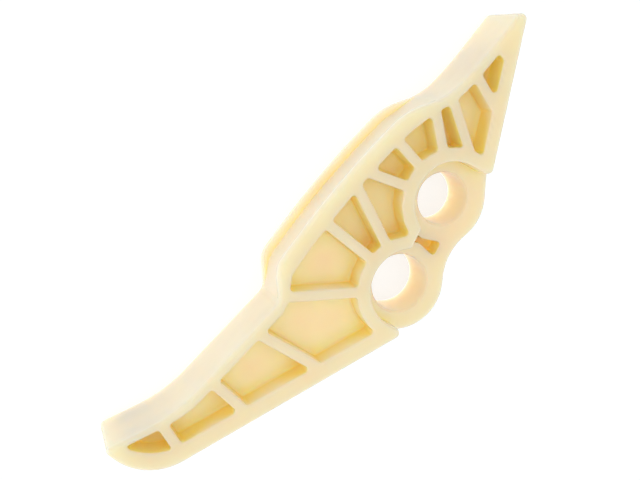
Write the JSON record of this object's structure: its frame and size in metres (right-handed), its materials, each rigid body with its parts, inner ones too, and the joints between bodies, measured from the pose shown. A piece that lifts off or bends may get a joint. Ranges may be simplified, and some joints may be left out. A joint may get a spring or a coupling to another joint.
{
  "type": "timing chain guide",
  "caption": "Long ribbed moulded rail with a shallow groove along its curved running face and a bolt ear on its lower edge; it guides and damps an engine's timing chain.",
  "frame": {"origin": "on the upper bore's axis, at the ear's back face", "axes": "+X along the rail towards the short nose, +Y towards the chain, +Z out of the ribbed front face, along the bores"},
  "size_m": [0.1202, 0.0375, 0.0144],
  "materials": {
    "natural_nylon": "natural undyed polyamide, satin as moulded"
  },
  "bodies": {
    "root": {"chain_guide": "natural_nylon"}
  },
  "joints": []
}
